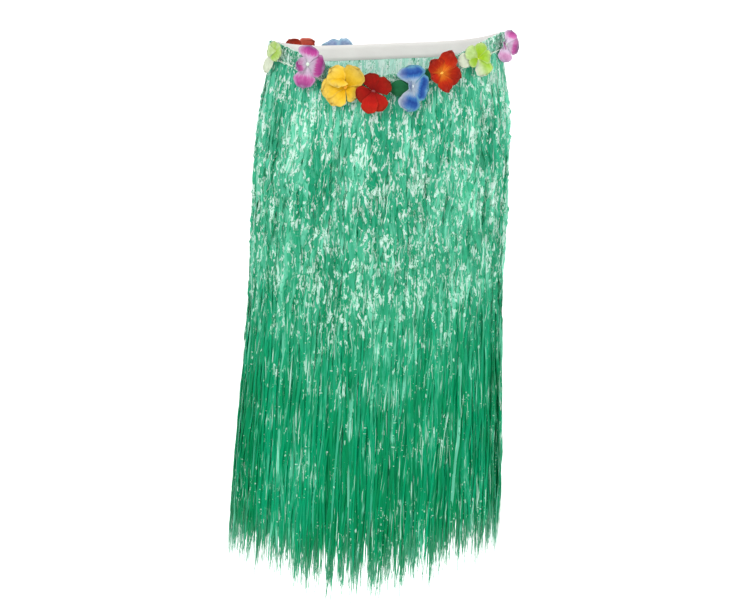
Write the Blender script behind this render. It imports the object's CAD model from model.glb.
"""The grass skirt: film strands sewn to a waistband, with a string of cloth flowers round it.

Lengths are in millimetres until place() or pinned() turns them into metres.
"""

import math

import bmesh
import bpy
import numpy as np
from mathutils import Matrix, Vector


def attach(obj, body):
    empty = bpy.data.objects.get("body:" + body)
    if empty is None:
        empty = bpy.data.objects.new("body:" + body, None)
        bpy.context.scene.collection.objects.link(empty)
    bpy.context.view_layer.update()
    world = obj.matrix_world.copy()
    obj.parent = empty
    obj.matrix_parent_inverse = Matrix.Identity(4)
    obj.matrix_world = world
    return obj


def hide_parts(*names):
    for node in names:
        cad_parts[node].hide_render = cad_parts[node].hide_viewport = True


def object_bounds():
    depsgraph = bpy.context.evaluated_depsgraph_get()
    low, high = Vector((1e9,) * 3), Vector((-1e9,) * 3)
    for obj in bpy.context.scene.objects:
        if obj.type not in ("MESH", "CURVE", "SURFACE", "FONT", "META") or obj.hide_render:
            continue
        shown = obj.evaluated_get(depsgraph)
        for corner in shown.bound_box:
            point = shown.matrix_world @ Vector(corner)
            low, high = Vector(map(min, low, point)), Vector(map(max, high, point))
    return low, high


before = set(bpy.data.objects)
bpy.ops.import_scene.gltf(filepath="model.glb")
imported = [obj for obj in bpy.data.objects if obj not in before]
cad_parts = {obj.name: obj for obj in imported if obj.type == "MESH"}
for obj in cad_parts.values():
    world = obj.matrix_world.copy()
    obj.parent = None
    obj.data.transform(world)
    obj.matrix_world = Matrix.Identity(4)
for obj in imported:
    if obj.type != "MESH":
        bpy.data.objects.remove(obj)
CAD_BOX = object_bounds()
rng = np.random.default_rng(21)  # the shapes depend on the order of its draws
MM = 0.001
ROUND = 2 * math.pi

# ---- the waist line: the sizes of the CAD ------------------------------------------------

HALF_WIDTH, HALF_DEPTH, SQUARENESS = 178.0, 98.0, 2.35
TILT = 5.0  # degrees that the waist line rises towards +X
FRONT_SAG, FRONT_SHAPE = 58.0, 1.3  # a U
BACK_SAG, BACK_SHAPE = 13.0, 5  # drops at the sides, then nearly straight
BAND_TOP = 12.5  # half the elastic's height
ELASTIC_THICK = 1.6
HEADER_OUT = 4.3  # the header's outer face, from the elastic's inner face
FRINGE_TOP = -14.3  # where the loose strands start
STRING_UP = -11.5  # the garland's string, from the middle of the band

# down, out from the header's face, depth of strands
FRINGE_ROWS = np.array([
    (0, -0.4, 3.6), (14, 0.4, 5), (34, 3.4, 7), (62, 8, 9), (100, 12, 10), (160, 14.5, 11),
    (260, 15, 11), (380, 16, 11), (500, 19, 11), (630, 23, 10), (800, 26.5, 9),
])
# place round the waist, height, width, extra length of each bunch of strands
RIDGES = np.array([
    (0.018, 3.2, 0.05, 16), (0.061, 2.2, 0.036, 6), (0.104, 3.8, 0.046, 9), (0.142, 2.4, 0.034, 2),
    (0.187, 3.4, 0.05, 12), (0.236, 2.8, 0.042, 8), (0.281, 3.8, 0.048, 14), (0.325, 2, 0.034, 4),
    (0.369, 3.4, 0.046, 11), (0.412, 2.6, 0.038, 5), (0.458, 3.6, 0.05, 15), (0.503, 2.4, 0.036, 6),
    (0.547, 3.4, 0.046, 12), (0.593, 2.8, 0.042, 3), (0.636, 3.8, 0.05, 13), (0.682, 2.2, 0.036, 7),
    (0.727, 3.6, 0.048, 10), (0.773, 2.6, 0.038, 5), (0.816, 3.8, 0.05, 14), (0.862, 2.4, 0.036, 4),
    (0.905, 3.4, 0.048, 12), (0.955, 2.8, 0.042, 9),
])
RIDGE_HIGH, RIDGE_WIDE, RIDGE_LONG = 1, 2, 3  # columns of RIDGES


def rounded(v):
    """A cosine or sine, bent so that the waist is squarer than an ellipse."""
    return np.sign(v) * np.abs(v) ** (2 / SQUARENESS)


angles = np.linspace(-math.pi / 2, 1.5 * math.pi, 14401)  # from the middle of the front, towards +X
WALK = np.stack([HALF_WIDTH * rounded(np.cos(angles)), HALF_DEPTH * rounded(np.sin(angles))], 1)
FAR = np.concatenate([[0], np.cumsum(np.linalg.norm(np.diff(WALK, axis=0), axis=1))])
GIRTH = FAR[-1]


def plan(share):
    """The waist line seen from above, at shares of the way round it."""
    at = np.mod(share, 1) * GIRTH
    return np.stack([np.interp(at, FAR, WALK[:, k]) for k in (0, 1)], -1)


def waist(share):
    """Points of the waist line, the way along it, the way out, and its height."""
    share = np.asarray(share, float)
    p = plan(share)
    along = plan(share + 0.004) - plan(share - 0.004)
    along /= np.linalg.norm(along, axis=-1, keepdims=True)
    out = np.stack([along[..., 1], -along[..., 0]], -1)
    across = np.minimum(1, np.abs(p[..., 0]) / HALF_WIDTH)
    front = FRONT_SAG * (1 - across**2) ** FRONT_SHAPE
    back = BACK_SAG * (1 - across**BACK_SHAPE)
    high = p[..., 0] * math.tan(math.radians(TILT)) - np.where(p[..., 1] < 0, front, back)
    return p, along, out, high


def place(share, out, up):
    """Points in metres, out from the elastic's inner face and up from the middle of the band."""
    p, _, away, high = waist(share)
    xy = p + away * np.asarray(out)[..., None]
    return np.concatenate([xy, (high + up)[..., None]], -1) * MM


def smooth(v):
    """0 up to 0 and 1 from 1, with an even bend between."""
    v = np.clip(v, 0, 1)
    return v * v * (3 - 2 * v)


def ridge(share, column):
    """A column of RIDGES as felt at shares of the way round, 0 between the bunches."""
    apart = np.abs(np.mod(share[..., None] - RIDGES[:, 0] + 0.5, 1) - 0.5)
    wide = RIDGES[:, RIDGE_WIDE]
    felt = np.where(apart < wide / 2, np.cos(math.pi * apart / wide) ** 2, 0)
    return (felt * RIDGES[:, column]).max(-1)


# ---- meshes ------------------------------------------------------------------------------


def grid_mesh(name, points, material, uv=None, bake=None, floats=None, smooth_faces=True, closed=False):
    """Strips of quads from points[strip, row, column]. closed joins the last row to the first."""
    n, r, c, _ = points.shape
    index = np.arange(n * r * c).reshape(n, r, c)
    if closed:
        index = np.concatenate([index, index[:, :1]], 1)
    quads = np.stack([index[:, :-1, :-1], index[:, :-1, 1:], index[:, 1:, 1:], index[:, 1:, :-1]], -1)
    quads = quads.reshape(-1, 4)
    me = bpy.data.meshes.new(name)
    me.vertices.add(n * r * c)
    me.vertices.foreach_set("co", points.astype(np.float32).ravel())
    me.loops.add(quads.size)
    me.loops.foreach_set("vertex_index", quads.ravel().astype(np.int32))
    me.polygons.add(len(quads))
    me.polygons.foreach_set("loop_start", np.arange(0, quads.size, 4, dtype=np.int32))
    me.polygons.foreach_set("use_smooth", np.array(np.broadcast_to(smooth_faces, (len(quads),))))
    me.update(calc_edges=True)
    for label, values in (("Shape", uv), ("OFBake", bake)):
        if values is not None:
            values = values.reshape(-1, 2)
            layer = me.uv_layers.new(name=label)
            layer.data.foreach_set("uv", values[quads.ravel()].astype(np.float32).ravel())
    for label, values in (floats or {}).items():
        a = me.attributes.new(label, "FLOAT", "POINT")
        a.data.foreach_set("value", values.astype(np.float32).ravel())
    me.materials.append(material)
    ob = bpy.data.objects.new(name, me)
    bpy.context.collection.objects.link(ob)
    return ob


def weld(ob):
    """Joins the points that lie in one place, and turns the faces outwards."""
    bm = bmesh.new()
    bm.from_mesh(ob.data)
    bmesh.ops.remove_doubles(bm, verts=bm.verts, dist=1e-6)
    bmesh.ops.recalc_face_normals(bm, faces=bm.faces)
    bm.to_mesh(ob.data)
    bm.free()


def wander(n, at, length):
    """A smooth random line for each of n strands, at distances at[strand, row], about 1 high."""
    total = np.zeros(at.shape)
    for k in range(4):
        wave = length * rng.uniform(0.35, 1.4, (n, 1))
        total += np.sin(ROUND * (at / wave + rng.random((n, 1)))) * 0.7**k
    return total / 1.3


# ---- materials ---------------------------------------------------------------------------


class Nodes:
    """Short calls for a material's nodes."""

    def __init__(self, name):
        self.material = bpy.data.materials.new(name)
        self.material.use_nodes = True
        self.tree = self.material.node_tree
        self.shader = self.tree.nodes["Principled BSDF"]

    def put(self, value, socket):
        if isinstance(value, bpy.types.NodeSocket):
            self.tree.links.new(value, socket)
        else:
            socket.default_value = value

    def add(self, kind, inputs=None, **settings):
        n = self.tree.nodes.new(kind)
        for key, value in settings.items():
            setattr(n, key, value)
        for key, value in (inputs or {}).items():
            self.put(value, n.inputs[key])
        return n

    def attribute(self, name):
        return self.add("ShaderNodeAttribute", attribute_name=name).outputs["Fac"]

    def shape_map(self):
        return self.add("ShaderNodeUVMap", uv_map="Shape").outputs["UV"]

    def coords(self, scale=(1, 1, 1)):
        where = self.add("ShaderNodeTexCoord").outputs["Object"]
        return self.add("ShaderNodeMapping", {"Vector": where, "Scale": scale}).outputs["Vector"]

    def noise(self, vector, scale, detail, roughness, distortion=0.0):
        return self.add("ShaderNodeTexNoise", {
            "Vector": vector, "Scale": scale, "Detail": detail, "Roughness": roughness,
            "Distortion": distortion,
        }).outputs["Fac"]

    def math(self, operation, first, *others):
        for other in others or (0.0,):
            first = self.add("ShaderNodeMath", {0: first, 1: other}, operation=operation).outputs[0]
        return first

    def plus(self, *values):
        return self.math("ADD", *values)

    def times(self, *values):
        return self.math("MULTIPLY", *values)

    def swing(self, value, by):
        """A noise, from its middle, times by."""
        return self.times(self.math("SUBTRACT", value, 0.5), by)

    def span(self, value, low, high, to_low=0.0, to_high=1.0):
        return self.add("ShaderNodeMapRange", {
            "Value": value, "From Min": low, "From Max": high, "To Min": to_low, "To Max": to_high,
        }, interpolation_type="SMOOTHSTEP").outputs["Result"]

    def mix(self, share, *colours):
        n = self.add("ShaderNodeMix", {0: share}, data_type="RGBA")
        for key, colour in zip((6, 7), colours):
            self.put(colour if isinstance(colour, bpy.types.NodeSocket) else (*colour, 1), n.inputs[key])
        return n.outputs[2]

    def ramp(self, value, stops):
        n = self.add("ShaderNodeValToRGB", {"Fac": value})
        while len(n.color_ramp.elements) < len(stops):
            n.color_ramp.elements.new(0.5)
        for e, (at, colour) in zip(n.color_ramp.elements, stops):
            e.position, e.color = at, (*colour, 1)
        return n.outputs["Color"]

    def bump(self, height, strength, distance):
        inputs = {"Height": height, "Strength": strength, "Distance": distance}
        return self.add("ShaderNodeBump", inputs).outputs["Normal"]

    def finish(self, **inputs):
        for key, value in inputs.items():
            self.put(value, self.shader.inputs[key.replace("_", " ")])
        return self.material


SHINE = 0.10  # gloss of the film
SMOOTH_FILM = (0.000, 0.305, 0.110), (0.003, 0.445, 0.210)
CRINKLED_FILM = (0.018, 0.44, 0.235), (0.13, 0.64, 0.43)
PALE, GLINT = (0.27, 0.86, 0.63), ((0.62, 0.95, 0.82), (0.88, 1.0, 0.95))
FILM_TIP = (0.15, 0.40, 0.28)


def raffia(name, smooth_film, crinkled_film, pale, worn=1.0, thin=0.52):
    """Thin plastic film. It is deep green where smooth, and pale and glinting where it is crinkled.

    Each film colour is a pair, its darker and lighter streaks. The map "Shape" holds 10 mm steps
    across the strand and metres along it. "crush" is how crinkled the film is, "tone" differs for
    each strand, and "tip" is 1 at its end. worn is how far the crinkles reach, and thin the share of
    the light that the film lets through.
    """
    n = Nodes(name)
    tone, crush, tip = (n.attribute(label) for label in ("tone", "crush", "tip"))
    uv = n.shape_map()

    def film(across, along, detail=2.0, distortion=0.0):
        spread = n.add("ShaderNodeMapping", {"Vector": uv, "Scale": (across, along, 1)}).outputs["Vector"]
        return n.noise(spread, 1.0, detail, 0.55, distortion)

    streak = film(6, 7)  # lines along the strand
    wash = film(0.9, 16, 3)  # pale stretches
    patch = film(1.2, 50, 2, 0.4)  # crushed patches, small
    large = film(1.2, 24, 2, 0.3)  # and large
    zigzag = film(3.0, 160, 1, 1.2)  # the creases in them
    rungs = film(0.4, 230, 1)  # short creases across a smooth strand
    rows = film(0.9, 8)  # where those creases lie
    thread = film(3.4, 14, 1)  # long thin shining folds
    dark = film(5.2, 13, 2)  # shaded folds
    cluster = n.noise(n.coords((1, 1, 0.6)), 26, 3, 0.65)  # where neighbours are crushed together
    lift = n.span(cluster, 0.32, 0.70, -0.04, 0.05)
    drape = n.noise(n.coords((1, 1, 0.2)), 17, 2, 0.6)  # whole bunches are paler or deeper
    brittle = n.span(crush, 0.0, 0.5, 0.0, 0.12 * worn)  # stays high well down the skirt

    # the film's own green, then the stretches and strands that are paler
    deep = n.plus(n.times(tone, 0.45), n.span(drape, 0.34, 0.66, -0.12, 0.30))
    shade = n.span(n.plus(deep, streak), 0.40, 1.15)
    colour = n.mix(crush, n.mix(shade, *smooth_film), n.mix(shade, *crinkled_film))
    washed = n.plus(wash, lift, n.times(streak, 0.45), n.span(drape, 0.34, 0.66, -0.05, 0.05),
                    n.times(crush, 0.06 * worn))
    colour = n.mix(n.span(washed, 0.76, 0.98, 0.0, 0.85), colour, pale)
    colour = n.mix(n.span(tone, 0.93, 0.95, 0.0, 0.6), colour, pale)  # a few strands, right to the hem

    # the dark side of folds and creases
    colour = n.mix(n.span(dark, 0.30, 0.42, 0.4, 0.0), colour, smooth_film[0])
    crushed = n.plus(patch, lift, brittle)
    shaded = n.times(n.span(crushed, 0.58, 0.64), n.span(zigzag, 0.34, 0.42, 0.75, 0.0))
    colour = n.mix(shaded, colour, smooth_film[0])

    # what glints: patches small and large, creases across, and long folds
    crushed = n.times(n.span(crushed, 0.655, 0.72), n.span(zigzag, 0.37, 0.50, 0.10, 1.0))
    big = n.plus(large, lift, n.times(brittle, 0.75))
    big = n.times(n.span(big, 0.70, 0.77), n.span(zigzag, 0.36, 0.48, 0.15, 0.9))
    dashes = n.times(n.span(rungs, 0.63, 0.67), n.span(n.plus(rows, lift), 0.57, 0.62),
                     n.span(crush, 0.1, 0.7, 0.8, 0.15))
    folds = n.span(n.plus(thread, lift), 0.655, 0.70, 0.0, 0.9)
    sharp = n.math("MAXIMUM", crushed, big, dashes, folds)
    colour = n.mix(sharp, colour, n.mix(crush, *GLINT))
    colour = n.mix(n.span(tip, 0.3, 1.0, 0.0, 0.6), colour, FILM_TIP)

    height = n.times(n.plus(patch, n.times(zigzag, 0.5)), n.span(crush, 0, 1, 0.15, 1.0))
    height = n.plus(height, n.times(streak, 0.4))
    film_face = n.finish(Base_Color=colour, Roughness=n.span(sharp, 0, 1, 0.45, 0.25),
                         Normal=n.bump(height, 0.7, 0.0016), IOR=1.45, Specular_IOR_Level=SHINE)
    through = n.add("ShaderNodeBsdfTranslucent", {"Color": colour})
    both = n.add("ShaderNodeMixShader", {0: thin, 1: n.shader.outputs[0], 2: through.outputs[0]})
    n.tree.links.new(both.outputs[0], n.tree.nodes["Material Output"].inputs["Surface"])
    return film_face


raffia_outer = raffia("raffia_outer", SMOOTH_FILM, CRINKLED_FILM, PALE)
# seen in the shade of others, through green film
raffia_under = raffia("raffia_under", ((0.0, 0.35, 0.13), (0.0, 0.46, 0.21)),
                      ((0.006, 0.46, 0.24), (0.06, 0.62, 0.40)), (0.10, 0.64, 0.42))
# seen from inside the skirt, with the light coming through
raffia_inner = raffia("raffia_inner", ((0.03, 0.42, 0.21), (0.08, 0.56, 0.34)),
                      ((0.38, 0.78, 0.64), (0.74, 1.0, 0.92)), (0.86, 1.0, 0.95), 1.2, 0.30)
raffia_header = raffia("raffia_header", SMOOTH_FILM, ((0.04, 0.40, 0.22), (0.24, 0.64, 0.47)),
                       (0.46, 0.78, 0.64), 1.5)


def elastic_material():
    n = Nodes("elastic")
    split = n.add("ShaderNodeSeparateXYZ", {"Vector": n.shape_map()})
    ribs = n.math("SINE", n.times(split.outputs["Y"], ROUND * 13))
    knit = n.math("SINE", n.times(split.outputs["X"], ROUND * GIRTH / 1.1))
    soil = n.noise(n.coords(), 22, 3, 0.5)
    height = n.plus(n.times(ribs, 0.7), n.times(knit, 0.3))
    colour = n.mix(n.span(soil, 0.3, 0.75), (0.72, 0.69, 0.67), (0.78, 0.75, 0.73))
    colour = n.mix(n.span(ribs, -1, 0.2, 0.10, 0.0), colour, (0.50, 0.49, 0.47))
    return n.finish(Base_Color=colour, Roughness=0.8, Normal=n.bump(height, 0.35, 0.0003),
                    Sheen_Weight=0.15)


def thread_material():
    n = Nodes("thread")
    fuzz = n.noise(n.coords(), 900, 3, 0.6)
    colour = n.mix(n.span(fuzz, 0.3, 0.7), (0.46, 0.58, 0.46), (0.70, 0.78, 0.66))
    return n.finish(Base_Color=colour, Roughness=0.6, Normal=n.bump(fuzz, 0.4, 0.0003), Sheen_Weight=0.2)


def petal_material(name, stops, rim, rim_share, faded, vein, dye):
    """Cloth printed from the petal's foot to its tip, with streaks along it and a rim colour.

    "faded" is how far each point goes to the faded colour, and "shade" how bright the petal is.
    """
    n = Nodes("petal_" + name)
    split = n.add("ShaderNodeSeparateXYZ", {"Vector": n.shape_map()})
    side, along = split.outputs["X"], split.outputs["Y"]
    edge = n.math("ABSOLUTE", n.swing(side, 2.0))
    grain = n.noise(n.coords(), 160, 3, 0.55)
    comb = n.add("ShaderNodeCombineXYZ", {"X": n.times(side, 9.0), "Y": along})
    streak = n.noise(comb.outputs[0], 2.2, 3, 0.6)
    colour = n.ramp(n.plus(along, n.swing(streak, vein), n.swing(grain, 0.12)), stops)
    round_rim = n.math("MAXIMUM", n.span(edge, 0.70, 0.98), n.span(along, 0.84, 1.0))
    colour = n.mix(n.times(round_rim, rim_share), colour, rim)
    worn = n.plus(n.attribute("faded"), n.swing(grain, 0.25))
    colour = n.mix(n.span(worn, 0.1, 0.9), colour, faded)
    shade = n.times(n.attribute("shade"), dye, n.span(grain, 0.25, 0.75, 0.90, 1.08))
    colour = n.add("ShaderNodeVectorMath", {0: colour, "Scale": shade}, operation="SCALE").outputs[0]
    weave = n.noise(n.coords(), 1500, 2, 0.5)
    height = n.plus(n.times(streak, 0.8), n.times(weave, 0.25))
    return n.finish(Base_Color=colour, Roughness=0.6, Normal=n.bump(height, 0.4, 0.0007),
                    Specular_IOR_Level=0.05, Sheen_Weight=0.02, Sheen_Roughness=0.4)


def heart_material(name, low):
    """The plastic at a flower's middle, from its darker colour to a lighter one."""
    n = Nodes("heart_" + name)
    grain = n.noise(n.coords(), 260, 3, 0.6)
    high = tuple(min(1, 1.4 * c + 0.01) for c in low)
    return n.finish(Base_Color=n.mix(n.span(grain, 0.3, 0.7), low, high), Roughness=0.5,
                    Normal=n.bump(grain, 0.3, 0.0005))


# ---- the elastic and the header ----------------------------------------------------------


def elastic():
    """The white ring, slightly waved in and out."""
    around = 420
    share = np.arange(around) / around
    wave = 0.25 * np.sin(ROUND * share * 9) + 0.18 * np.sin(ROUND * share * 23 + 1)
    top, thick, edge = BAND_TOP, ELASTIC_THICK, BAND_TOP - 0.3
    profile = [(0, -edge), (0, -6), (0, 0), (0, 6), (0, edge), (0.5, top), (thick - 0.5, top), (thick, edge),
               (thick, 0), (thick, -edge), (thick - 0.5, -top), (0.5, -top), (0, -edge)]
    out = np.array([p[0] for p in profile])[None] + wave[:, None] * 0.5
    up = np.array([p[1] for p in profile])[None] + np.zeros((around, 1))
    points = place(np.broadcast_to(share[:, None], up.shape), out, up)[None]
    across = share[:, None] + np.zeros(up.shape)
    uv = np.stack([across, (up + BAND_TOP) / (2 * BAND_TOP)], -1)[None]
    # the join is its own row, so that the map doesn't run backwards there
    points = np.concatenate([points, points[:, :1]], 1)
    last = uv[:, :1].copy()
    last[..., 0] = 1
    ob = grid_mesh("waist_elastic_band", points, elastic_material(), np.concatenate([uv, last], 1))
    weld(ob)
    return ob


def strip_map(n, rows, columns, at):
    """A bake map with one strip for each strand, side by side."""
    x = (np.arange(n)[:, None, None] + 0.08 + 0.84 * np.linspace(0, 1, columns)) / n
    y = np.broadcast_to(at[..., None] / at.max(), (n, rows, columns))
    return np.stack([np.broadcast_to(x, y.shape), 0.002 + 0.996 * y], -1)


def ribbon_points(share, out, up, width, fold, turn, across=3, crumple=0.0):
    """Points across a ribbon, folded along its middle, crumpled, and turned about its length."""
    centre = place(share, out, up)
    _, along, away, _ = waist(share)
    flat = np.zeros((*share.shape, 3))
    face = np.zeros((*share.shape, 3))
    c, s = np.cos(turn)[..., None], np.sin(turn)[..., None]
    flat[..., :2] = along * c + away * s
    face[..., :2] = away * c - along * s
    x = np.linspace(-1, 1, across)
    height = fold[..., None] * (1 - np.abs(x)) + crumple
    sideways = (width / 2)[..., None] * x
    points = sideways[..., None] * flat[..., None, :] + height[..., None] * face[..., None, :]
    return centre[..., None, :] + points * MM


def film_map(down, width, columns):
    """The map that raffia() reads: 10 mm steps across each strand, strands far apart, and metres along."""
    n = len(down)
    across = 7.3 * np.arange(n)[:, None, None] + np.linspace(0, 1, columns) * width[..., None] / 10
    along = np.broadcast_to((down * MM)[..., None], across.shape)
    return np.stack([across, along], -1)


def header():
    """The strands' upper ends, bunched and sewn over the elastic."""
    n, rows = 1150, 7
    share = (np.arange(n)[:, None] + rng.random((n, 1))) / n
    at = np.linspace(0, 1, rows)[None] + np.zeros((n, 1))
    behind = smooth(plan(share)[..., 1] / 40 + 0.5)
    top = rng.uniform(11.4, 13.8, (n, 1)) - 1.7 * behind  # trimmed close at the back
    up = top + (-14.5 - top) * at
    lean = rng.normal(0, 4.0, (n, 1)) * (at - 0.5) + rng.normal(0, 0.8, (n, rows))
    share = share + lean / GIRTH
    layer = rng.random((n, 1))
    belly = np.sin(math.pi * np.clip(at, 0.02, 1)) ** 0.5
    out = 2.45 + (HEADER_OUT - 2.4) * layer * (0.25 + 0.75 * belly) + rng.normal(0, 0.45, (n, rows))
    out += 0.6 * np.sin(ROUND * (share * 151)) * belly
    width = rng.uniform(3.6, 7.0, (n, 1)) + rng.normal(0, 0.6, (n, rows))
    fold = rng.normal(0, 1.1, (n, 1)) + rng.normal(0, 0.6, (n, rows))
    turn = rng.normal(0, 0.5, (n, 1)) + rng.normal(0, 0.4, (n, rows))
    clear = 2.0 + np.abs(np.sin(turn)) * width / 2  # keeps a turned ribbon out of the elastic
    points = ribbon_points(share, np.maximum(out, clear), up, width, np.abs(fold), turn)
    shape = points.shape[:3]
    tone = np.broadcast_to(rng.random((n, 1, 1)), shape)
    return grid_mesh("raffia_header_bunched", points, raffia_header, uv=film_map(14 - up, width, 3),
                     bake=strip_map(n, rows, 3, at), smooth_faces=False,
                     floats={"tone": tone, "crush": np.ones(shape), "tip": np.zeros(shape)})


def header_backing():
    """The sewn layers under the bunched ends, so the elastic doesn't show through them."""
    around, rows = 1100, 7
    share = np.arange(around) / around
    up = np.linspace(12.4, -14.0, rows)[None] + np.zeros((around, 1))
    s = np.broadcast_to(share[:, None], up.shape)
    out = 2.15 + 0.4 * np.abs(np.sin(math.pi * s * 260 + np.sin(s * 400))) + rng.normal(0, 0.06, up.shape)
    points = place(s, out, up)
    inner = place(s, np.full(up.shape, 1.85), up)[:, ::-1]
    loop = np.concatenate([points, inner, points[:, :1]], 1)[None]
    loop = np.concatenate([loop, loop[:, :1]], 1)
    shape = loop.shape[:3]
    around_map = np.broadcast_to(np.arange(shape[1])[:, None] / 6, shape[1:])
    down_map = np.broadcast_to(np.arange(shape[2]) * 0.003, shape[1:])
    floats = {"tone": np.full(shape, 0.3), "crush": np.full(shape, 0.6), "tip": np.zeros(shape)}
    ob = grid_mesh("raffia_header_layers", loop, raffia_header,
                   uv=np.stack([around_map, down_map], -1)[None], floats=floats)
    weld(ob)
    return ob


# ---- the loose strands -------------------------------------------------------------------

# Clumps that strands gather into lower down: uneven places round the hem, some tighter than others.
N_CLUMPS = 64
CLUMPS = np.sort(np.mod(np.cumsum(rng.uniform(0.4, 1.7, N_CLUMPS)) / N_CLUMPS * 0.95, 1))
TIGHT = rng.uniform(0.15, 0.66, N_CLUMPS)
STRAND, SHORTEST, LONGEST = 772, 630, 806
UPPER = 0.60  # the share of a strand that has the closer rows, for its crinkles
TIP = 105  # how far up from its end a strand starts to narrow


def fringe(name, n, depth, low_depth, material, segments, across, width, low_width):
    """n strands. Depths are shares of the fringe's thickness, 1 being its outside, at its top and its hem."""
    upper, lower = segments
    at01 = np.concatenate([np.linspace(0, UPPER, upper, endpoint=False), np.linspace(UPPER, 1, lower)])
    rows = len(at01)
    start = (np.arange(n) + rng.random(n)) / n
    clump = np.abs(np.mod(start[:, None] - CLUMPS + 0.5, 1) - 0.5).argmin(1)
    off = np.mod(start - CLUMPS[clump] + 0.5, 1) - 0.5
    spread = np.abs(off) * GIRTH
    corner = np.abs(waist(start)[0][..., 0] / HALF_WIDTH) ** 3  # the sides hang a little longer and wider
    long = STRAND + 0.75 * ridge(start, RIDGE_LONG) + 10 * corner - 1.2 * spread
    long += rng.normal(0, 11, n) - rng.exponential(14, n) + np.where(rng.random(n) < 0.05, 12, 0)
    long = np.clip(long, SHORTEST, LONGEST)
    down = at01[None] * long[:, None]

    # how far each row has passed from one state to the next
    lower_down = smooth((down - 170) / 330)
    calm = 0.06 + 0.94 * (1 - smooth((down - 200) / 360))  # crinkled above, straight below
    reach = smooth(down / 140)
    tip = smooth((down - long[:, None] + TIP) / TIP)
    crush = 1 - smooth((down - 60) / 510)

    layer = rng.uniform(*depth, (n, 1)) * (1 - lower_down) + rng.uniform(*low_depth, (n, 1)) * lower_down
    pull = TIGHT[clump][:, None] * smooth((down - 330) / 440)
    share = start[:, None] - off[:, None] * pull
    side = 3.4 * reach * wander(n, down, 420) + 1.2 * reach * calm * wander(n, down, 110)
    stray = np.where(rng.random((n, 1)) < 0.15, 8.0, 2.4)
    side += stray * smooth((down - 300) / 450) * rng.normal(0, 1, (n, 1))
    side += calm * rng.normal(0, 0.38, (n, rows))
    share = share + side / GIRTH

    out = np.interp(down, FRINGE_ROWS[:, 0], FRINGE_ROWS[:, 1])
    wall = np.interp(down, FRINGE_ROWS[:, 0], FRINGE_ROWS[:, 2])
    out = HEADER_OUT + out - wall * (1 - layer)
    flare = 5 * corner[:, None] * smooth((down - 380) / 350)
    out += ridge(share, RIDGE_HIGH) * smooth((down - 40) / 200) + flare
    out += reach * wander(n, down, 170) + calm * reach * rng.normal(0, 0.4, (n, rows))

    wide = rng.uniform(*width, (n, 1)) * (1 - lower_down) + rng.uniform(*low_width, (n, 1)) * lower_down
    wide *= 1 + 0.12 * wander(n, down, 70)
    wide += calm * rng.normal(0, 0.5, (n, rows))
    wide = np.maximum(wide, 1.6) * (1 - 0.84 * tip)
    fold = 0.10 * wide * (rng.normal(0, 1, (n, 1)) + 0.7 * wander(n, down, 90)) * (1 - tip)
    fold += calm * rng.normal(0, 0.4, (n, rows))
    turn = rng.normal(0, 0.36, (n, 1)) + 0.42 * wander(n, down, 190)
    turn += calm * rng.normal(0, 0.18, (n, rows))
    turn *= (0.35 + 0.65 * reach) * (1 - 0.4 * lower_down)
    crumple = 0.75 * (calm * reach)[..., None] * rng.normal(0, 1, (n, rows, across))
    points = ribbon_points(share, out, FRINGE_TOP + 1.5 - down, wide, fold, turn, across, crumple)

    shape = points.shape[:3]
    floats = {
        "tone": np.broadcast_to(rng.random((n, 1, 1)), shape),
        "crush": np.broadcast_to(crush[..., None], shape),
        "tip": np.broadcast_to(tip[..., None], shape),
    }
    lower_face = np.broadcast_to((at01[:-1] > UPPER)[None, :, None], (n, rows - 1, across - 1)).ravel()
    return grid_mesh(name, points, material, uv=film_map(down, wide, across),
                     bake=strip_map(n, rows, across, down), floats=floats, smooth_faces=lower_face)


# ---- the string --------------------------------------------------------------------------


def string():
    """Two plies twisted round each other, and uneven in thickness."""
    turns, rows_per_turn, sides = 170, 7, 6
    rows = turns * rows_per_turn
    share = np.arange(rows) / rows
    around = ROUND * np.arange(sides + 1) / sides
    strips = []
    for ply in (0, math.pi):
        a = ROUND * np.arange(rows) / rows_per_turn + ply
        out = HEADER_OUT + 1.5 + 0.5 * np.cos(a)
        up = STRING_UP + 0.5 * np.sin(a) + 0.5 * np.sin(share * ROUND * 17)
        thick = 0.68 + 0.14 * np.sin(share * ROUND * 83) * np.sin(share * ROUND * 29)
        out = out[:, None] + thick[:, None] * np.cos(around)
        up = up[:, None] + thick[:, None] * np.sin(around)
        strips.append(place(np.broadcast_to(share[:, None], up.shape), out, up))
    ob = grid_mesh("garland_string_twisted", np.stack(strips), thread_material(), closed=True)
    weld(ob)
    return ob


# ---- flowers -----------------------------------------------------------------------------

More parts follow.
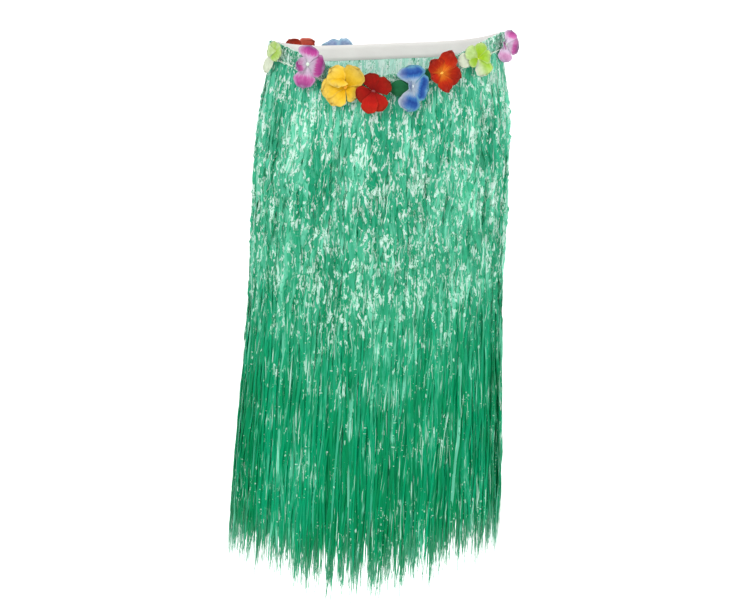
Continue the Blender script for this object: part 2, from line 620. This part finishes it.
# Each petal: direction, length, width, how far it opens forward, and ruffle, in degrees and mm, then
# its brightness, how faded it is, how much more on one side, and where its foot is (three numbers).
# broad is the place of its widest part, and point how far its tip draws in. stops are the printed
# colours from foot to tip, vein how far streaks shift them, and dye scales the cloth's brightness.
KINDS = {
    "purple": dict(
        petals=[
            (-95, 38, 35, 8, 1.6, 1.0, 0.22, 0.0, 0, 0, 0),
            (-8, 30, 38, 14, 2.2, 0.85, 0.0, -0.25, 0, 0, 1),
            (152, 22, 13, 62, 1.0, 1.0, 0.5, 0.2, 0, 0, 0),
            (78, 30, 33, 20, 1.5, 1.05, 0.0, -0.45, 0, 0, 2),
            (208, 22, 18, 48, 1.2, 0.95, 0.2, 0.0, 0, 0, 0),
        ],
        broad=0.66, point=0.1, cup=3.0, ragged=0.9, ribs=0.8, heart=(0.42, 0.52, 0.42), heart_size=0.8,
        stops=[(0.0, (0.48, 0.56, 0.46)), (0.16, (0.74, 0.66, 0.76)), (0.42, (0.74, 0.52, 0.72)),
               (0.58, (0.60, 0.10, 0.38)), (0.80, (0.46, 0.05, 0.28)), (1.0, (0.24, 0.05, 0.22))],
        rim=(0.60, 0.42, 0.62), rim_share=0.55, faded=(0.76, 0.66, 0.80), dye=0.62, vein=0.36),
    "yellow": dict(
        petals=[
            (236, 35, 34, 10, 3.6, 1.02, 0, 0, 0, 0, 0),
            (-30, 25, 34, 8, 2.8, 0.92, 0, 0, 0, 0, 1),
            (189, 39, 31, 10, 4.2, 1.0, 0, 0, 0, 0, 1),
            (52, 37, 42, 24, 4.2, 0.82, 0, 0, 0, 0, 0.5),
            (134, 36, 36, 20, 4.6, 1.0, 0, 0, 0, 0, 2),
            (262, 17, 31, 30, 1.6, 1.04, 0, 0, -9, 14, 7),
        ],
        broad=0.70, point=0.0, cup=3.5, ragged=2.4, ribs=0.5, heart=(0.72, 0.30, 0.0), heart_size=0.55,
        stops=[(0.0, (0.80, 0.36, 0.0)), (0.22, (0.86, 0.47, 0.005)), (0.6, (0.88, 0.56, 0.04)),
               (1.0, (0.85, 0.60, 0.11))],
        rim=(0.84, 0.64, 0.16), rim_share=0.4, faded=(0.85, 0.7, 0.3), dye=0.70, vein=0.22),
    "red": dict(
        petals=[
            (200, 29, 29, 16, 1.2, 0.86, 0, 0, 0, 0, 0),
            (105, 30, 28, 16, 1.2, 0.74, 0, 0, 0, 0, 1),
            (30, 31, 31, 18, 1.4, 0.82, 0, 0, 0, 0, 0.3),
            (-62, 35, 30, 12, 1.4, 1.15, 0, 0, 0, 0, 0.6),
            (-100, 37, 28, 12, 1.4, 1.30, 0, 0, 0, 0, 2.2),
        ],
        broad=0.64, point=0.0, cup=3.5, ragged=0.8, ribs=0.4, heart=(0.12, 0.003, 0.003), heart_size=0.6,
        stops=[(0.0, (0.16, 0.004, 0.004)), (0.22, (0.34, 0.008, 0.006)), (0.6, (0.44, 0.011, 0.006)),
               (1.0, (0.38, 0.020, 0.008))],
        rim=(0.36, 0.03, 0.012), rim_share=0.4, faded=(0.5, 0.1, 0.05), dye=0.62, vein=0.2),
    "blue": dict(
        petals=[
            (178, 14, 16, 62, 1.0, 1.0, 0.5, 0.0, 0, 0, 0),
            (-62, 24, 13, 16, 1.0, 1.0, 0.95, 0.0, 0, 0, 0),
            (-10, 26, 44, 20, 2.8, 0.95, 0.0, 0.0, 0, 0, 1),
            (100, 33, 45, 10, 1.6, 1.0, 0.05, -0.50, 0, 0, 1.5),
            (-102, 41, 35, 8, 1.6, 0.95, 0.10, 0.70, 0, 0, 2),
        ],
        broad=0.66, point=0.0, cup=3.5, ragged=1.0, ribs=0.9, heart=(0.46, 0.52, 0.54), heart_size=0.6,
        stops=[(0.0, (0.50, 0.56, 0.66)), (0.30, (0.40, 0.54, 0.72)), (0.48, (0.05, 0.20, 0.54)),
               (0.62, (0.018, 0.07, 0.34)), (0.80, (0.04, 0.14, 0.46)), (1.0, (0.16, 0.38, 0.62))],
        rim=(0.17, 0.45, 0.62), rim_share=0.9, faded=(0.52, 0.59, 0.67), dye=0.62, vein=0.26),
    "orange": dict(
        petals=[
            (204, 20, 30, 14, 1.6, 1.1, 0, 0, 0, 0, 0),
            (-12, 33, 34, 12, 2.6, 0.84, 0, 0, 0, 0, 0.5),
            (134, 29, 34, 16, 2.2, 0.86, 0, 0, 0, 0, 1),
            (68, 41, 35, 14, 2.6, 1.0, 0.0, 0.25, 0, 0, 0.5),
            (-70, 33, 28, 10, 2.0, 1.0, 0, 0, 0, 0, 1.8),
        ],
        broad=0.58, point=0.45, cup=3.0, ragged=1.8, ribs=0.7, heart=(0.80, 0.30, 0.02), heart_size=0.5,
        stops=[(0.0, (0.86, 0.30, 0.03)), (0.24, (0.84, 0.17, 0.012)), (0.46, (0.60, 0.035, 0.006)),
               (0.80, (0.46, 0.018, 0.007)), (1.0, (0.52, 0.06, 0.035))],
        rim=(0.44, 0.03, 0.015), rim_share=0.5, faded=(0.78, 0.20, 0.14), dye=0.58, vein=0.7),
    "lime": dict(
        petals=[
            (192, 36, 24, 6, 1.2, 1.0, 0.95, 0.0, 0, 0, 0),
            (-64, 31, 33, 10, 1.6, 1.0, 0.42, 0.45, 0, 0, 0.5),
            (8, 21, 22, 18, 1.0, 1.0, 0.15, 0.0, 0, 0, 1.2),
            (216, 22, 15, 20, 1.0, 0.92, 0.0, 0.0, 0, 0, 1.5),
            (155, 27, 24, 14, 1.2, 1.0, 0.40, 0.0, 0, 0, 2.2),
            (85, 25, 21, 18, 1.0, 0.92, 0.0, 0.0, 0, 0, 2.6),
        ],
        broad=0.66, point=0.05, cup=3.0, ragged=0.8, ribs=0.3, heart=(0.42, 0.60, 0.02), heart_size=0.5,
        stops=[(0.0, (0.42, 0.60, 0.02)), (0.35, (0.34, 0.58, 0.025)), (0.70, (0.36, 0.60, 0.07)),
               (1.0, (0.48, 0.68, 0.20))],
        rim=(0.58, 0.74, 0.32), rim_share=0.55, faded=(0.66, 0.72, 0.56), dye=0.74, vein=0.3),
}
# the lime flower at the corner, folded small with one long petal hanging
KINDS["lime_folded"] = {**KINDS["lime"], "petals": [
    (234, 42, 19, 3, 1.2, 1.0, 0.85, 0.0, 0, 0, 0),
    (52, 15, 19, 26, 0.8, 1.0, 0.45, 0.0, 0, 0, 0.5),
    (118, 16, 19, 26, 0.8, 0.95, 0.35, 0.0, 0, 0, 1),
    (-14, 15, 20, 20, 0.8, 1.0, 0.30, 0.0, 0, 0, 1.6),
    (-80, 16, 19, 14, 0.8, 0.95, 0.30, 0.0, 0, 0, 2.2),
    (184, 16, 18, 24, 0.8, 1.0, 0.50, 0.0, 0, 0, 2.6),
]}

# node, along the waist from the middle of the front, up from the band's middle, out from the
# header's face to the foot of the petals, size, pitch up, yaw to +X, spin, how much more faded, and
# whether folded
FLOWERS = [
    ("flower_lime_left", -173, 3, 6.4, 1.0, 2, 6, 0, 0, True),
    ("flower_purple_left", -117, 5, 10, 1.0, 4, 4, 0, 0),
    ("flower_yellow_left", -59, -11, 6.6, 0.97, 8, 0, 0, 0),
    ("flower_red_front", -17, -12, 11.5, 0.97, 8, -3, 0, 0),
    ("flower_blue_front", 41, -10, 7.6, 0.97, 9, 3, 0, 0),
    ("flower_orange_right", 83, -3, 11.5, 0.91, 5, 0, 0, 0),
    ("flower_lime_right", 139, -5, 6.6, 0.97, 5, -6, 0, 0),
    ("flower_purple_right", 194, -3, 8, 0.76, 2, -34, -4, 0.22),
    ("flower_yellow_back", 335, -24, 6.5, 0.97, 6, 0, 40, 0),
    ("flower_red_back", 416, -24, 6.5, 0.97, 6, 0, 24, 0),
    ("flower_blue_back", -374, -9, 6.5, 1.12, 4, 0, 56, 0.48),
    ("flower_orange_back", -316, -8, 6.5, 1.0, 4, 0, 72, 0.30),
]
# node, along, up and out as above, length, width, lean
LEAVES = [
    ("leaf_front_1", 6, -8, 3.6, 32, 26, -85),
    ("leaf_front_2", 60, -7, 3.6, 26, 17, -30),
    ("leaf_back_1", 458, -14, 3.6, 24, 13, 10),
    ("leaf_back_2", -357, -14, 3.6, 24, 13, -16),
]


def petal(row, kind, size):
    """A petal in its flower's frame, with its map, its shade and how faded it is."""
    direction, long, wide, opens, ruffle, shade, faded, side, *foot = row
    rows, columns = 19, 17
    u, v = np.meshgrid(np.linspace(0, 1, rows), np.linspace(-1, 1, columns), indexing="ij")
    broad, point = kind["broad"], kind["point"]
    beyond = np.clip((u - broad) / (1 - broad), 0, 1)
    narrowing = np.maximum(1 - beyond ** (2.4 - 1.3 * point), 0) ** (0.5 + 0.4 * point)
    width = np.where(u < broad, 0.18 + 0.82 * smooth(u / broad), narrowing)
    phase, wave = rng.uniform(0, 6.28), rng.uniform(1.6, 2.6)
    x = v * width * wide / 2 * (1 + 0.05 * np.sin(9 * u + phase) + 0.03 * np.sin(21 * u + 2 * phase))
    ragged = np.sin(5 * v + phase) + 0.5 * np.sin(13 * v + 2 * phase)
    y = u * long + kind["ragged"] * ragged * u**3
    # its height: cupped, its sides raised, ruffled at the edge, ribbed, and creased down the middle
    z = kind["cup"] * np.sin(math.pi * np.minimum(1, u * 1.1)) * 0.6 - 2.4 * u**3
    z += 0.09 * wide * v**2 * u * width
    z += ruffle * u**2 * np.abs(v) ** 0.8 * np.sin(wave * math.pi * v + phase + 2.5 * u)
    z += kind["ribs"] * np.sin(5.5 * math.pi * v + phase) * smooth(u * 2) * (1 - 0.5 * u)
    z += 1.5 * np.exp(-((v / 0.16) ** 2)) * (1 - u) * u
    a = math.radians(opens)
    y, z = y * math.cos(a) - z * math.sin(a) * 0.4, y * math.sin(a) + z * math.cos(a)
    d = math.radians(direction)
    px, py = y * math.cos(d) + x * math.sin(d), y * math.sin(d) - x * math.cos(d)
    points = (np.stack([px, py, z], -1) + foot) * size
    return points, np.stack([(v + 1) / 2, u], -1), shade + 0 * u, np.clip(faded + side * v, 0, 1)


def pinned(points, along, up, out, pitch, yaw, spin):
    """Moves points from a flower's own frame, its face towards +z, to its place on the waist."""
    share = np.array(along / GIRTH)
    _, way, away, _ = waist(share)
    base = Matrix(((way[0], 0, away[0]), (way[1], 0, away[1]), (0, 1, 0)))
    turn = Matrix.Rotation(math.radians(yaw), 3, "Y") @ Matrix.Rotation(math.radians(-pitch), 3, "X")
    m = np.array(base @ turn @ Matrix.Rotation(math.radians(spin), 3, "Z"))
    at = place(share, np.array(HEADER_OUT + out), np.array(float(up)))
    return points @ m.T * MM + at


def thicken(ob, thick):
    m = ob.modifiers.new("thickness", "SOLIDIFY")
    m.thickness, m.offset = thick * MM, 0
    m.use_even_offset = False


MATERIALS = {}  # each colour's cloth and heart


def flower(node, along, up, out, size, pitch, yaw, spin, older, folded=False):
    name = node.split("_")[1]
    kind = KINDS[name + "_folded" * folded]
    if name not in MATERIALS:
        print_of = (kind[k] for k in ("stops", "rim", "rim_share", "faded", "vein", "dye"))
        MATERIALS[name] = petal_material(name, *print_of), heart_material(name, kind["heart"])
    cloth, plastic = MATERIALS[name]
    petals = (petal(row, kind, size) for row in kind["petals"])
    points, uv, shade, faded = (np.stack(a) for a in zip(*petals))
    at = (along, up, out, pitch, yaw, spin)
    ob = grid_mesh(node + "_petals", pinned(points, *at), cloth, uv,
                   floats={"shade": shade * (1 + older), "faded": faded + older})
    thicken(ob, 0.35)
    # the heart: a low cup
    a, r = np.meshgrid(np.linspace(0, ROUND, 13), np.linspace(0, 1, 6))
    ring = 3.8 * np.sin(r * 1.4)
    cup = np.stack([ring * np.cos(a), ring * np.sin(a), 5.0 - 2.6 * r**2], -1)[None]
    heart = grid_mesh(node + "_heart", pinned(cup * size * (1, 1, kind["heart_size"]), *at), plastic)
    weld(heart)
    for piece in (ob, heart):
        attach(piece, "root")
    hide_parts(node)


def leaf(node, along, up, out, long, wide, lean, material):
    rows, columns = 15, 9
    u, v = np.meshgrid(np.linspace(0, 1, rows), np.linspace(-1, 1, columns), indexing="ij")
    half = wide / 2 * np.sin(math.pi * (0.03 + 0.94 * u)) ** 0.8
    z = 3 * np.sin(math.pi * u) + 0.22 * np.abs(v) * half + 0.35 * np.sin(9 * u + 3 * v)
    points = np.stack([v * half, u * long, z], -1)[None]
    ob = grid_mesh(node + "_cloth", pinned(points, along, up, out, 0, 0, lean), material,
                   np.stack([(v + 1) / 2, u], -1)[None], floats={"shade": 1 + 0 * u, "faded": 0 * u})
    thicken(ob, 0.4)
    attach(ob, "root")
    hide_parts(node)


# ---- put together ------------------------------------------------------------------------

band = elastic()
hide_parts("waist_elastic")
bunched, layers = header(), header_backing()
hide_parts("raffia_header")
cord_ring = string()
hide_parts("garland_string")

# From the outside in: name, number of strands, depths at the top and at the hem, material, rows
# above and below, points across, and widths at the top and at the hem.
LAYERS = [
    ("ribbons", 160, (0.82, 1.0), (0.6, 1.0), raffia_outer, (62, 26), 4, (9, 15), (3.6, 6.4)),
    ("under", 240, (0.58, 0.84), (0.5, 1.0), raffia_outer, (58, 24), 3, (8, 13), (3.2, 5.6)),
    ("strands", 700, (0.34, 0.60), (0.5, 1.0), raffia_under, (42, 26), 3, (4, 7), (2.2, 3.8)),
    ("middle", 620, (0.25, 0.5), (0.25, 0.65), raffia_under, (36, 22), 2, (5, 9), (2.8, 4.6)),
    ("inner", 620, (0.0, 0.25), (0.0, 0.35), raffia_inner, (36, 22), 2, (6, 10), (3.0, 5.0)),
]
loose = [fringe("raffia_fringe_" + name, *row) for name, *row in LAYERS]
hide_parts("raffia_fringe")
for piece in (band, bunched, layers, cord_ring, *loose):
    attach(piece, "root")

for row in FLOWERS:
    flower(*row)
leaf_stops = [(0.0, (0.010, 0.10, 0.035)), (0.5, (0.014, 0.13, 0.048)), (1.0, (0.02, 0.16, 0.06))]
leaf_cloth = petal_material("leaf", leaf_stops, (0.03, 0.20, 0.08), 0.3, (0.1, 0.3, 0.15), 0.3, 0.8)
for row in LEAVES:
    leaf(*row, leaf_cloth)

# ---- camera, floor and light, in metres --------------------------------------------------

TARGET = Vector((0.0008, 0, -0.4128))
FAR_OFF, ELEVATION, ROLL = 5.5, 5.5, 2.74  # the angles in degrees
SENSOR, IMAGE_WIDTH, MM_PER_PIXEL = 36, 750, 1.577
cam_data = bpy.data.cameras.new("camera")
cam = bpy.data.objects.new("camera", cam_data)
bpy.context.collection.objects.link(cam)
high = math.radians(ELEVATION)
cam.location = TARGET + Vector((0, -math.cos(high), math.sin(high))) * FAR_OFF
aim = (TARGET - cam.location).to_track_quat("-Z", "Y")
cam.rotation_euler = (aim @ Matrix.Rotation(math.radians(ROLL), 3, "Z").to_quaternion()).to_euler()
cam_data.sensor_width = SENSOR
cam_data.lens = SENSOR * FAR_OFF / (IMAGE_WIDTH * MM_PER_PIXEL * MM)
cam_data.clip_end = 60
bpy.context.scene.camera = cam


def backdrop():
    """A white sweep: a floor that curves up into a wall behind."""
    low = CAD_BOX[0].z - 0.28
    half, flat_to, curve, top = 9, 6.2, 2.2, 9
    line = [(-half, 0), (-2, 0), (flat_to, 0)]
    for a in np.linspace(0.1, math.pi / 2, 12):
        line.append((flat_to + curve * math.sin(a), curve - curve * math.cos(a)))
    line.append((flat_to + curve, top))
    points = np.array([[[x, y, low + z] for x in np.linspace(-half, half, 3)] for y, z in line])[None]
    n = Nodes("backdrop")
    haze = n.noise(n.coords(), 1.5, 2, 0.5)
    white = n.mix(haze, (0.93, 0.93, 0.93), (0.96, 0.96, 0.96))
    material = n.finish(Base_Color=white, Roughness=0.9, Emission_Color=(1, 1, 1, 1), Emission_Strength=0.3)
    grid_mesh("backdrop", points, material)


backdrop()


def area(name, where, at, size, power):
    """A square light, aimed at a point."""
    data = bpy.data.lights.new(name, "AREA")
    data.shape, data.size, data.size_y, data.energy = "RECTANGLE", size, size, power
    ob = bpy.data.objects.new(name, data)
    bpy.context.collection.objects.link(ob)
    ob.location = where
    ob.rotation_euler = (Vector(at) - Vector(where)).to_track_quat("-Z", "Y").to_euler()


area("key", (-1.5, -3.0, 1.7), (0, 0, -0.35), 0.8, 62)
area("fill", (2.0, -2.8, 0.3), (0, 0, -0.4), 1.0, 26)
area("back", (0.6, 2.9, 1.2), (0, 0, -0.4), 1.4, 30)

world = bpy.data.worlds.new("studio")
bpy.context.scene.world = world
world.use_nodes = True
background = world.node_tree.nodes["Background"].inputs
background["Color"].default_value = (1, 1, 1, 1)
background["Strength"].default_value = 0.9
bpy.context.scene.view_settings.view_transform = "Standard"
